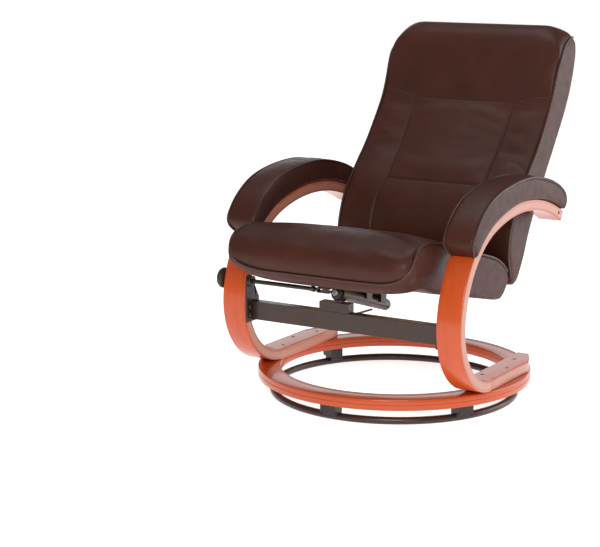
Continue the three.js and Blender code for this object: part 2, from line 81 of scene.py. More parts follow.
# ---- Materials ----------------------------------------------------------------------------
class Recipe:
    """A material being built: its nodes, links and the shader at its end."""

    def __init__(self, name, roughness, metallic=0.0, coat=0.0, coat_roughness=0.03, specular=0.5):
        self.material = bpy.data.materials.new(name)
        self.material.use_nodes = True
        self.tree = self.material.node_tree
        self.shader = self.tree.nodes["Principled BSDF"]
        for socket, value in (("Roughness", roughness), ("Metallic", metallic), ("Coat Weight", coat),
                              ("Coat Roughness", coat_roughness), ("Specular IOR Level", specular)):
            self.shader.inputs[socket].default_value = value

    def node(self, kind, **settings):
        made = self.tree.nodes.new(kind)
        for key, value in settings.items():
            if key in made.inputs:
                made.inputs[key].default_value = value
            else:
                setattr(made, key, value)
        return made

    def link(self, source, target):
        self.tree.links.new(source, target)

    def place(self, scale=(1, 1, 1), source="Object"):
        """Texture coordinates, in metres times scale."""
        where = self.node("ShaderNodeTexCoord")
        mapping = self.node("ShaderNodeMapping")
        mapping.inputs["Scale"].default_value = scale
        self.link(where.outputs[source], mapping.inputs["Vector"])
        return mapping.outputs["Vector"]

    def noise(self, vector, scale, detail=3.0, rough=0.5):
        made = self.node("ShaderNodeTexNoise")
        made.inputs["Scale"].default_value = scale
        made.inputs["Detail"].default_value = detail
        made.inputs["Roughness"].default_value = rough
        self.link(vector, made.inputs["Vector"])
        return made.outputs["Fac"]

    def ramp(self, value, stops):
        made = self.node("ShaderNodeValToRGB")
        elements = made.color_ramp.elements
        while len(elements) < len(stops):
            elements.new(0.5)
        for element, (at, colour) in zip(elements, stops):
            element.position = at
            element.color = (*colour, 1.0) if len(colour) == 3 else colour
        self.link(value, made.inputs["Fac"])
        return made.outputs["Color"]

    def spread(self, value, low, high, into):
        """A noise value, mapped to low..high and sent to one of the shader's sockets."""
        made = self.node("ShaderNodeMapRange")
        for socket, number in (("From Min", 0.3), ("From Max", 0.7), ("To Min", low), ("To Max", high)):
            made.inputs[socket].default_value = number
        self.link(value, made.inputs["Value"])
        self.link(made.outputs["Result"], self.shader.inputs[into])

    def mix(self, factor, a, b, blend="MIX"):
        made = self.node("ShaderNodeMix", data_type="RGBA", blend_type=blend)
        for socket, source in ((0, factor), (6, a), (7, b)):
            if isinstance(source, (int, float)):
                made.inputs[socket].default_value = source
            elif isinstance(source, tuple):
                made.inputs[socket].default_value = (*source, 1.0)
            else:
                self.link(source, made.inputs[socket])
        return made.outputs[2]

    def bumps(self, *layers):
        """Heights over each other, each given as (height, distance in metres, strength)."""
        before = None
        for height, distance, strength in layers:
            made = self.node("ShaderNodeBump")
            made.inputs["Distance"].default_value = distance
            made.inputs["Strength"].default_value = strength
            self.link(height, made.inputs["Height"])
            if before:
                self.link(before, made.inputs["Normal"])
            before = made.outputs["Normal"]
        self.link(before, self.shader.inputs["Normal"])


def leather(name, dark, light, roughness, specular=0.2):
    """Pigmented hide: fine pebbled grain with creases between, and slight changes of tone."""
    m = Recipe(name, roughness, specular=specular)
    here = m.place()
    pebble = m.node("ShaderNodeTexVoronoi", feature="DISTANCE_TO_EDGE")
    pebble.inputs["Scale"].default_value = 620
    m.link(here, pebble.inputs["Vector"])
    fine = m.noise(here, 1500, 2)
    broad = m.noise(here, 9, 4)
    tone = m.ramp(broad, ((0.3, dark), (0.7, light)))
    edge = m.ramp(pebble.outputs["Distance"], ((0.0, (0.8, 0.8, 0.8)), (0.12, (1, 1, 1))))
    m.link(m.mix(1.0, tone, edge, "MULTIPLY"), m.shader.inputs["Base Color"])
    m.spread(m.noise(here, 35, 4), roughness - 0.05, roughness + 0.07, "Roughness")
    m.bumps((m.noise(here, 38, 3), 0.0010, 0.18), (pebble.outputs["Distance"], 0.0004, 0.28),
            (fine, 0.0002, 0.15))
    return m.material


def veneer(name, dark, mid, light, roughness=0.32, coat=0.6):
    """Lacquered cherry: streaks and pores along the strip, which is the first texture axis."""
    m = Recipe(name, roughness, coat=coat, coat_roughness=0.08, specular=0.35)
    along = m.place((5, 90, 1), "UV")
    streak = m.noise(along, 1.0, 6, 0.6)
    broad = m.noise(m.place((3, 14, 1), "UV"), 1.0, 3)
    pores = m.noise(m.place((90, 1500, 1), "UV"), 1.0, 2)
    grain = m.ramp(streak, ((0.2, dark), (0.5, mid), (0.85, light)))
    tone = m.mix(m.ramp(broad, ((0.3, (0, 0, 0)), (0.75, (0.5, 0.5, 0.5)))), grain, light)
    pits = m.ramp(pores, ((0.3, (0.8, 0.7, 0.66)), (0.42, (1, 1, 1))))
    m.link(m.mix(0.45, tone, m.mix(1.0, tone, pits, "MULTIPLY")), m.shader.inputs["Base Color"])
    m.spread(streak, roughness - 0.06, roughness + 0.08, "Roughness")
    m.bumps((streak, 0.0003, 0.12), (pores, 0.0001, 0.15))
    return m.material


def laminated_with_painted_sheen(name, dark, light, layer=0.0028):
    """The sawn edge of the layered strip: thin plies across, with fine lines between them. Its pale pink
    colour is partly the plies' own and partly a painted reflection of the bright surroundings.
    """
    m = Recipe(name, 0.36, coat=0.35, coat_roughness=0.12)
    where = m.place((1, 1, 1), "UV")
    wave = m.node("ShaderNodeTexWave", wave_type="BANDS", bands_direction="Y", wave_profile="SAW")
    wave.inputs["Scale"].default_value = 1 / (layer * 20)
    wave.inputs["Distortion"].default_value = 0.25
    wave.inputs["Detail Scale"].default_value = 0.02
    m.link(where, wave.inputs["Vector"])
    fibres = m.noise(m.place((26, 700, 1), "UV"), 1.0, 4)
    ply = m.ramp(wave.outputs["Fac"], ((0.0, dark), (0.1, light), (0.8, light), (1.0, dark)))
    fibre = m.ramp(fibres, ((0.25, (0.8, 0.74, 0.7)), (0.7, (1, 1, 1))))
    m.link(m.mix(1.0, ply, fibre, "MULTIPLY"), m.shader.inputs["Base Color"])
    m.bumps((wave.outputs["Fac"], 0.0001, 0.12), (fibres, 0.0002, 0.12))
    return m.material


def enamel(name, colour, roughness, metallic):
    """Powder coat on steel: a fine orange peel, a little lighter on the convex edges."""
    m = Recipe(name, roughness, metallic=metallic, coat=0.15, coat_roughness=0.2)
    here = m.place()
    edges = m.node("ShaderNodeNewGeometry")
    dark = tuple(c * 0.8 for c in colour)
    light = tuple(c * 1.25 for c in colour)
    tone = m.ramp(m.noise(here, 26, 5), ((0.3, dark), (0.7, light)))
    # Convex edges, found by pointiness, are mixed toward a lighter colour.
    lighter_edges = m.ramp(edges.outputs["Pointiness"], ((0.52, (0, 0, 0)), (0.6, (0.5, 0.5, 0.5))))
    m.link(m.mix(lighter_edges, tone, tuple(min(1, c * 3) for c in colour)), m.shader.inputs["Base Color"])
    m.spread(m.noise(here, 60, 4), roughness - 0.06, roughness + 0.1, "Roughness")
    m.bumps((m.noise(here, 900, 2), 0.0002, 0.15))
    return m.material


def moulded(name, colour, roughness):
    """Injection-moulded plastic with a fine spark texture."""
    m = Recipe(name, roughness)
    here = m.place()
    tone = m.ramp(m.noise(here, 40, 3), ((0.3, colour), (0.7, tuple(c * 1.35 for c in colour))))
    m.link(tone, m.shader.inputs["Base Color"])
    m.spread(m.noise(here, 90, 3), roughness - 0.05, roughness + 0.08, "Roughness")
    m.bumps((m.noise(here, 1800, 2), 0.00015, 0.3))
    return m.material


def plated(name):
    """Bright zinc or chrome plate with faint turning marks."""
    m = Recipe(name, 0.2, metallic=1.0)
    here = m.place()
    tone = m.ramp(m.noise(here, 70, 4), ((0.3, (0.62, 0.62, 0.64)), (0.7, (0.78, 0.78, 0.8))))
    m.link(tone, m.shader.inputs["Base Color"])
    m.spread(m.noise(here, 240, 3), 0.14, 0.3, "Roughness")
    m.bumps((m.noise(here, 800, 2), 0.0001, 0.1))
    return m.material


def birch(name):
    """Bare plywood: pale rotary-cut face with long soft figure."""
    m = Recipe(name, 0.62)
    streak = m.noise(m.place((60, 5, 60)), 1.0, 6, 0.6)
    tone = m.ramp(streak, ((0.25, (0.36, 0.22, 0.11)), (0.5, (0.55, 0.37, 0.2)), (0.8, (0.66, 0.47, 0.28))))
    m.link(tone, m.shader.inputs["Base Color"])
    m.bumps((streak, 0.0003, 0.2))
    return m.material


HIDE = leather("brown_hide", (0.050, 0.0135, 0.0078), (0.064, 0.0175, 0.0105), 0.42)
HIDE_PIPING = leather("brown_hide_piping", (0.044, 0.0125, 0.0075), (0.056, 0.016, 0.010), 0.34, 0.42)
THREAD = moulded("brown_thread", (0.05, 0.02, 0.013), 0.6)
# A near-black brown for painted shadow in the seams.
SEAM_DARK = moulded("seam_shadow", (0.014, 0.006, 0.0045), 0.7)
CHERRY = veneer("cherry_face", (0.44, 0.048, 0.005), (0.52, 0.064, 0.007), (0.58, 0.085, 0.011), coat=0.45)
# The edge colours are paler and pinker than the face: partly the plies' own colour, partly painted
# reflection.
CHERRY_PLY_EDGE_AND_SHEEN = laminated_with_painted_sheen("cherry_edge_ply_and_sheen", (0.42, 0.155, 0.095), (0.56, 0.235, 0.155))
STEEL = enamel("dark_steel", (0.029, 0.0155, 0.0115), 0.36, 0.3)
PLATE = plated("bright_plate")
PLASTIC = moulded("black_plastic", (0.016, 0.012, 0.011), 0.42)
BIRCH = birch("birch_ply")


# ---- Mesh tools ---------------------------------------------------------------------------
def mesh_object(name, points, faces, materials, smooth=True):
    mesh = bpy.data.meshes.new(name)
    mesh.from_pydata([tuple(p) for p in points], [], faces)
    for material in materials:
        mesh.materials.append(material)
    if smooth:
        mesh.shade_smooth()
    mesh.update()
    made = bpy.data.objects.new(name, mesh)
    scene.collection.objects.link(made)
    return made


def finish_piece(piece, body, slot, *stands_for):
    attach(piece, body)
    if stands_for:
        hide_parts(*stands_for)
    return piece


def spline(points, count, closed=False):
    """A smooth line through the points, cut into equal steps."""
    p = np.array(points, float)
    if closed:
        p = np.vstack([p[-1], p, p[0], p[1]])
    else:
        p = np.vstack([2 * p[0] - p[1], p, 2 * p[-1] - p[-2]])
    t = np.linspace(0, 1, 24, endpoint=False)[:, None]
    spans = []
    for a, b, c, d in zip(p, p[1:], p[2:], p[3:]):
        spans.append(0.5 * (2 * b + (c - a) * t + (2 * a - 5 * b + 4 * c - d) * t ** 2
                            + (3 * b - a - 3 * c + d) * t ** 3))
    line = np.vstack([*spans, p[-2][None]])
    return even(line, count + (1 if closed else 0))[:count] if closed else even(line, count)


def even(line, count):
    """The same line with points at equal steps."""
    gaps = np.linalg.norm(np.diff(line, axis=0), axis=1)
    run = np.concatenate([[0], np.cumsum(gaps)])
    at = np.linspace(0, run[-1], count)
    return np.stack([np.interp(at, run, line[:, k]) for k in range(line.shape[1])], axis=1)


def smoothed(line, rounds):
    """The same line with its small kinks ironed out and its ends kept."""
    for _ in range(rounds):
        line = np.vstack([line[:1], (line[:-2] + 2 * line[1:-1] + line[2:]) / 4, line[-1:]])
    return line


def skin(rings, flip=False, fans=True):
    """Quads over a row of equal rings, each end closed by a fan or by one flat face.
    Returns points and faces."""
    size = len(rings[0])
    faces = []
    for i in range(len(rings) - 1):
        for k in range(size):
            a, b = i * size + k, i * size + (k + 1) % size
            faces.append((a, a + size, b + size, b))
    points = [p for ring in rings for p in ring]
    for start, back in ((0, False), ((len(rings) - 1) * size, True)):
        if not fans:
            face = tuple(range(start, start + size))
            faces.append(face[::-1] if back else face)
            continue
        middle = len(points)
        points.append(np.mean(points[start:start + size], axis=0))
        for k in range(size):
            a, b = start + k, start + (k + 1) % size
            faces.append((middle, b, a) if back else (middle, a, b))
    if flip:
        faces = [face[::-1] for face in faces]
    return points, faces


def tube(path, radius, sides=8, squash=1.0):
    """Rings round a path, with rounded ends, as points and faces."""
    path = np.array(path)
    run = np.gradient(path, axis=0)
    run /= np.linalg.norm(run, axis=1)[:, None]
    normal = np.cross(run[0], (0.0, 0.0, 1.0))
    if np.linalg.norm(normal) < 0.1:
        normal = np.cross(run[0], (1.0, 0.0, 0.0))
    rings = []
    last = len(path) - 1
    for i, (point, heading) in enumerate(zip(path, run)):
        normal = normal - heading * (normal @ heading)
        normal /= np.linalg.norm(normal)
        across = np.cross(heading, normal)
        taper = radius * (0.55 if i in (0, last) else 1.0)
        ring = [point + taper * (math.cos(a) * normal + squash * math.sin(a) * across)
                for a in (2 * math.pi * k / sides for k in range(sides))]
        rings.append(ring)
    return skin(rings, flip=True)


def gather(name, parts, material):
    """Several (points, faces) parts in one mesh object."""
    points, faces = [], []
    for some_points, some_faces in parts:
        start = len(points)
        points.extend(some_points)
        faces.extend(tuple(start + i for i in face) for face in some_faces)
    return mesh_object(name, points, faces, [material])


def baked(piece):
    """The piece's mesh with its modifiers applied, in place of the old one."""
    graph = bpy.context.evaluated_depsgraph_get()
    mesh = bpy.data.meshes.new_from_object(piece.evaluated_get(graph), depsgraph=graph)
    piece.modifiers.clear()
    old = piece.data
    piece.data = mesh
    bpy.data.meshes.remove(old)
    return piece


def points_of(piece):
    flat = np.empty(len(piece.data.vertices) * 3)
    piece.data.vertices.foreach_get("co", flat)
    return flat.reshape(-1, 3)


def normals_of(piece):
    flat = np.empty(len(piece.data.vertices) * 3)
    piece.data.vertex_normals.foreach_get("vector", flat)
    return flat.reshape(-1, 3)


def set_points(piece, points):
    piece.data.vertices.foreach_set("co", np.ascontiguousarray(points, float).ravel())
    piece.data.update()


def surface_of(piece):
    faces = [tuple(face.vertices) for face in piece.data.polygons]
    return BVHTree.FromPolygons([tuple(p) for p in points_of(piece)], faces)


def laid(line, surface, lift, rounds=6):
    """A line pulled onto a surface and lifted a little off it."""
    found = [surface.find_nearest(Vector(p))[:2] for p in line]
    place = smoothed(np.array([tuple(p) for p, _ in found]), rounds)
    out = smoothed(np.array([tuple(n) for _, n in found]), 3 * rounds)
    out /= np.linalg.norm(out, axis=1)[:, None]
    return place + out * lift, out


def distance_to(lines, points):
    """How far each point is from the nearest line, and which point of the lines that is."""
    dense = np.vstack([even(np.array(line), max(2, int(len(line) * 3))) for line in lines])
    tree = KDTree(len(dense))
    for i, p in enumerate(dense):
        tree.insert(p, i)
    tree.balance()
    return np.array([tree.find(p)[2] for p in points])


def mirror_line(line):
    return np.array(line) * (-1, 1, 1)


# ---- Soft pieces --------------------------------------------------------------------------
def remeshed(piece, voxel):
    piece.data.remesh_voxel_size = voxel
    rebuild = piece.modifiers.new("remesh", "REMESH")
    rebuild.mode = "VOXEL"
    rebuild.voxel_size = voxel
    rebuild.use_smooth_shade = True
    baked(piece)
    ease = piece.modifiers.new("ease", "SMOOTH")
    ease.iterations = 4
    ease.factor = 0.5
    return baked(piece)


def inflated(piece, held, pressure, cap, slack=0.0, steps=20):
    """Swells the piece with Blender's cloth. held is 1 where a point may not move."""
    rest = points_of(piece)
    group = piece.vertex_groups.new(name="held")
    for i, weight in enumerate(held):
        group.add([i], float(weight), "REPLACE")
    cloth = piece.modifiers.new("cloth", "CLOTH")
    settings = cloth.settings
    settings.quality = 6
    settings.mass = 0.3
    settings.tension_stiffness = 22
    settings.compression_stiffness = 22
    settings.shear_stiffness = 9
    settings.bending_stiffness = 5.0
    settings.vertex_group_mass = "held"
    settings.pin_stiffness = 1.0
    settings.use_pressure = True
    settings.uniform_pressure_force = pressure
    settings.shrink_min = -slack
    settings.effector_weights.gravity = 0
    cloth.collision_settings.use_collision = False
    cloth.point_cache.frame_start = 1
    cloth.point_cache.frame_end = steps
    for step in range(1, steps + 1):
        scene.frame_set(step)
    baked(piece)
    moved = points_of(piece) - rest
    far = np.linalg.norm(moved, axis=1)
    print(piece.name, len(far), "points; swelled", round(float(far.max()) * 1000, 1), "mm")
    share = cap * np.tanh(far / cap) / np.maximum(far, 1e-9) * (1 - held)
    set_points(piece, rest + calmed(piece, moved * share[:, None], 16))
    piece.vertex_groups.clear()
    scene.frame_set(1)
    return piece


def calmed(piece, moves, rounds):
    """Evens out neighbouring points' movements, which irons the finest wrinkles flat."""
    flat = np.empty(len(piece.data.edges) * 2, int)
    piece.data.edges.foreach_get("vertices", flat)
    one, other = flat.reshape(-1, 2).T
    links = np.bincount(flat, minlength=len(moves))[:, None]
    for _ in range(rounds):
        around = np.zeros_like(moves)
        np.add.at(around, one, moves[other])
        np.add.at(around, other, moves[one])
        moves = (moves + around / links) / 2
    return moves


def sewn(piece, seams, depth, width):
    """Subdivides the piece once and draws its surface in along the seams."""
    fine = piece.modifiers.new("fine", "SUBSURF")
    fine.levels = fine.render_levels = 1
    baked(piece)
    piece.data.shade_smooth()
    points = points_of(piece)
    near = distance_to(seams, points)
    set_points(piece, points - normals_of(piece) * (depth * np.exp(-(near / width) ** 2))[:, None])
    return piece


def stitches(line, out, pitch=0.0052, length=0.0034, radius=0.00042):
    """Short threads along a line that already lies on the surface."""
    total = np.linalg.norm(np.diff(line, axis=0), axis=1).sum()
    count = max(2, int(total / pitch))
    spots = even(line, count)
    outs = even(out, count)
    parts = []
    for i in range(count - 1):
        run = spots[i + 1] - spots[i]
        run /= np.linalg.norm(run)
        half = run * length / 2
        middle = spots[i] + outs[i] * radius * 0.6
        ends = outs[i] * radius * 0.9
        path = [middle - half - ends, middle - half * 0.5, middle + half * 0.5, middle + half - ends]
        parts.append(tube(path, radius, 5))
    return parts


def rounded_form(outline, half, rim, stations, shape=None):
    """A closed form drawn as a side-view outline, [y, z] points, and given a width along X.
    rim rounds its edges over at the sides; shape may change a ring of points before it is used."""
    loop = np.array(outline)
    ahead = np.roll(loop, -1, axis=0) - np.roll(loop, 1, axis=0)
    inward = np.stack([-ahead[:, 1], ahead[:, 0]], axis=1)
    inward /= np.linalg.norm(inward, axis=1)[:, None]
    area = 0.5 * np.sum(loop[:, 0] * np.roll(loop[:, 1], -1) - np.roll(loop[:, 0], -1) * loop[:, 1])
    if area < 0:
        inward = -inward
    rings = []
    for side in stations:
        across = abs(side)
        turned = max(0.0, across - 1)
        depth = rim * (1 - math.sqrt(max(0.0, 1 - turned ** 2)))
        x = math.copysign(1, side) * (min(across, 1.0) * (half - rim) + turned * rim)
        ring = np.column_stack([np.full(len(loop), x), loop + inward * depth])
        rings.append(ring if shape is None else shape(ring))
    return skin(rings, flip=area > 0, fans=False)


# Stations across a form: evenly over the flat, then a quarter turn over the rim.
ACROSS = [*np.linspace(-1, 1, 41)]
RIM = [1 + math.sin(a) for a in np.linspace(0, math.pi / 2, 5)[1:]]
STATIONS = [-s for s in RIM[::-1]] + ACROSS + RIM


# ---- Seat ---------------------------------------------------------------------------------
def seat_under(y):
    return 0.325 - math.tan(math.radians(12.8)) * (y + 0.318)


def board_recess(ring):
    """Leaves room under the seat for its board and irons."""
    height = ring[:, 2] - seat_under(ring[:, 1])
    recess = (np.abs(ring[:, 0]) < BOARD_HALF) & (np.abs(height) < 0.002)
    inside = (ring[:, 1] > -0.3045) & (ring[:, 1] < 0.0364)
    ring[:, 2] += 0.0125 * (recess & inside)
    return ring


def shape_seat(points):
    """Rounds the front corners in plan, curls the front's lower corners up, crowns the top and
    tucks the sides in toward the bottom. The sitter's right front corner is the plumper one."""
    x, y, z = points.T
    across = np.minimum(np.abs(x) / SEAT_HALF, 1)
    front = np.clip((-0.30 - y) / 0.14, 0, 1)
    low = np.clip((0.385 - z) / 0.05, 0, 1) * front
    high = np.clip((z - seat_under(y) - 0.05) / 0.04, 0, 1)
    tuck = 0.010 * across ** 2 * np.clip(1 - (z - seat_under(y)) / 0.10, 0, 1)
    plump = (x < 0) * across ** 3 * np.clip((-0.35 - y) / 0.07, 0, 1) * np.clip((z - 0.35) / 0.03, 0, 1)
    return np.column_stack([
        x * (1 - 0.045 * np.clip((0.375 - z) / 0.04, 0, 1) * front) - np.sign(x) * tuck - 0.009 * plump
        - 0.010 * (x > 0) * across ** 3 * np.clip((-0.30 - y) / 0.12, 0, 1) ** 2,
        y + np.where(x > 0, 0.018, 0.004) * across ** 8 * front,
        z + 0.018 * across ** 5 * low - np.where(x > 0, 0.006, 0.003) * across ** 4 * high,
    ])


SEAT_OUTLINE = [
    (0.073, 0.262), (0.084, 0.286), (0.078, 0.310), (0.048, 0.340), (-0.012, 0.369), (-0.132, 0.403),
    (-0.252, 0.440), (-0.342, 0.461), (-0.402, 0.458), (-0.447, 0.435), (-0.464, 0.404), (-0.458, 0.372),
    (-0.442, 0.346), (-0.412, 0.3315), (-0.370, 0.335), (-0.308, seat_under(-0.308)),
    (-0.200, seat_under(-0.2)), (-0.060, seat_under(-0.06)), (0.030, seat_under(0.03)), (0.058, 0.246),
]
# The edge of the top panel: along the side, round the front corner and across the front.
SEAT_EDGE = [
    (0.2505, 0.078, 0.316), (0.2510, 0.040, 0.346), (0.2515, -0.020, 0.370), (0.2515, -0.120, 0.398),
    (0.2515, -0.230, 0.431), (0.2510, -0.309, 0.451), (0.2480, -0.360, 0.460), (0.2440, -0.398, 0.453),
    (0.2390, -0.421, 0.430), (0.2290, -0.436, 0.401), (0.2060, -0.446, 0.379), (0.1600, -0.452, 0.3675),
    (0.1000, -0.454, 0.3655), (0, -0.455, 0.3650),
]
SEAT_FOOT = [
    (0.238, 0.060, 0.256), (0.240, -0.060, 0.273), (0.240, -0.220, 0.309), (0.240, -0.330, 0.333),
    (0.238, -0.395, 0.345), (0.225, -0.418, 0.343), (0.150, -0.424, 0.335), (0, -0.426, 0.333),
]

# The folds round one front corner.
SEAT_CREASES = [
    [(0.168, -0.452, 0.402), (0.186, -0.452, 0.388), (0.200, -0.448, 0.381)],
    [(0.212, -0.446, 0.376), (0.232, -0.430, 0.362), (0.250, -0.400, 0.349)],
    [(0.236, -0.425, 0.425), (0.215, -0.452, 0.430), (0.195, -0.462, 0.433)],
    [(0.241, -0.410, 0.446), (0.222, -0.430, 0.452), (0.205, -0.437, 0.457)],
]


def both_halves(half, count):
    """The line on the left and its mirror image, which stands a little further out at the front."""
    left = np.array(half)
    right = mirror_line(left[:-1])[::-1]
    corner = np.exp(-((right[:, 1] + 0.425) / 0.05) ** 2) * (right[:, 0] < -0.17)
    right += np.column_stack([-0.010 * corner, -0.008 * corner, 0 * corner])
    return spline(np.vstack([left, right]), count)


def within(piece, reach):
    """Keeps the piece's sides within a distance of the middle; it is freer ahead of the arms."""
    points = points_of(piece)
    free = 0.008 * np.clip((-0.385 - points[:, 1]) / 0.03, 0, 1)
    points[:, 0] = np.clip(points[:, 0], -reach - free, reach + free)
    set_points(piece, points)


def make_seat():
    outline = spline(SEAT_OUTLINE, 120, closed=True)
    points, faces = rounded_form(outline, SEAT_HALF, 0.010, STATIONS, board_recess)
    seat = remeshed(mesh_object("seat_leather", points, faces, [HIDE]), CUSHION_VOXEL)
    set_points(seat, shape_seat(points_of(seat)))
    edge = both_halves(SEAT_EDGE, 240)
    foot = both_halves(SEAT_FOOT, 200)

    rest = points_of(seat)
    near = distance_to([edge, foot], rest)
    held = np.clip(1.25 - near / 0.010, 0, 1)
    height = rest[:, 2] - seat_under(rest[:, 1])
    held = np.maximum(held, (height < 0.02) & (normals_of(seat)[:, 2] < -0.5))
    held = np.maximum(held, np.clip((rest[:, 1] - 0.0) / 0.05, 0, 0.9))
    sides = np.abs(normals_of(seat)[:, 0]) > 0.7
    held = np.maximum(held, 0.55 * sides)
    inflated(seat, held, 3.0, 0.012, slack=0.004)
    within(seat, SWELL_HALF)

    creases = [spline(np.array(crease) * (side, 1, 1), 13) for side in (1, -1) for crease in SEAT_CREASES]
    sewn(seat, [edge, foot], SEAM_PULL, 0.0036)
    sewn_soft(seat, creases, 0.0013, 0.007)
    surface = surface_of(seat)
    line, _ = laid(edge, surface, PIPE * 0.9)
    piping = gather("seat_piping", [tube(line, PIPE, 10)], HIDE_PIPING)
    row, row_out = laid(offset_line(edge, surface, 0.007), surface, 0.0)
    thread = gather("seat_stitching", stitches(row, row_out), THREAD)
    finish_piece(seat, "seat", "brown_leather", "seat_cushion")
    finish_piece(piping, "seat", "brown_leather")
    finish_piece(thread, "seat", "brown_leather")


def sewn_soft(piece, lines, depth, width):
    """Shallow folds in the leather, without cutting it finer."""
    points = points_of(piece)
    near = distance_to(lines, points)
    set_points(piece, points - normals_of(piece) * (depth * np.exp(-(near / width) ** 2))[:, None])


def offset_line(line, surface, aside):
    """A line beside another one on a surface: to its left for a positive distance."""
    run = np.gradient(np.array(line), axis=0)
    run /= np.linalg.norm(run, axis=1)[:, None]
    out = np.array([tuple(surface.find_nearest(Vector(p))[1]) for p in line])
    out = smoothed(out, 30)
    left = np.cross(out, run)
    left /= np.linalg.norm(left, axis=1)[:, None]
    return np.array(line) + left * aside


# ---- Back ---------------------------------------------------------------------------------
BACK_REAR = [
    (0.146, 0.283), (0.176, 0.350), (0.203, 0.403), (0.248, 0.471), (0.295, 0.535), (0.361, 0.620),
    (0.416, 0.697), (0.453, 0.768), (0.473, 0.838), (0.468, 0.874),
]
BACK_FRONT = [
    (0.447, 0.909), (0.414, 0.917), (0.374, 0.892), (0.350, 0.830), (0.325, 0.752), (0.296, 0.697),
    (0.221, 0.604), (0.176, 0.558), (0.132, 0.512), (0.100, 0.470), (0.081, 0.430), (0.070, 0.385),
    (0.071, 0.350), (0.084, 0.318), (0.097, 0.290), (0.107, 0.274), (0.121, 0.268), (0.136, 0.271),
]
BACK_EDGE = [
    (0.2490, 0.094, 0.292), (0.2505, 0.069, 0.345), (0.2515, 0.070, 0.395), (0.2515, 0.082, 0.432),
    (0.2520, 0.103, 0.472), (0.2520, 0.133, 0.507), (0.2520, 0.178, 0.555), (0.2520, 0.223, 0.600),
    (0.2520, 0.263, 0.650), (0.2515, 0.298, 0.699), (0.2510, 0.327, 0.752), (0.2510, 0.350, 0.806),
    (0.2500, 0.364, 0.832), (0.2475, 0.386, 0.854), (0.2450, 0.414, 0.873), (0.2445, 0.442, 0.883),
    (0.2440, 0.468, 0.888),
]


def head_seam_z(x):
    rise = min(1, max(0, (abs(x) - 0.112) / 0.110))
    return 0.7195 + 0.019 * rise * rise * (3 - 2 * rise)


def front_of_back(z):
    """How far back the front face lies at a height."""
    front = np.array(BACK_FRONT[::-1])
    low_to_high = front[(front[:, 1] > 0.36) & (front[:, 1] < 0.9)]
    return float(np.interp(z, low_to_high[:, 1], low_to_high[:, 0]))


def on_back(x, z):
    return (x, front_of_back(z), z)


def shape_back(points):
    """Rounds the top corners, more at the front than at the rear, and tapers the foot."""
    x, y, z = points.T
    shoulder = 0.052 + 0.042 * np.clip((0.470 - y) / 0.09, 0, 1)
    inner = BACK_HALF - shoulder
    base = BACK_TOP - shoulder
    u = np.clip((np.abs(x) - inner) / shoulder, 0, 1)
    v = np.clip((z - base) / shoulder, 0, 1)
    new_x = np.where(u > 0, inner + shoulder * u * np.sqrt(1 - v * v / 2), np.abs(x))
    new_z = np.where(v > 0, base + shoulder * v * np.sqrt(1 - u * u / 2), z)
    foot = np.clip((0.36 - z) / 0.09, 0, 1) ** 2
    return np.column_stack([np.sign(x) * new_x * (1 - 0.03 * foot), y, new_z])


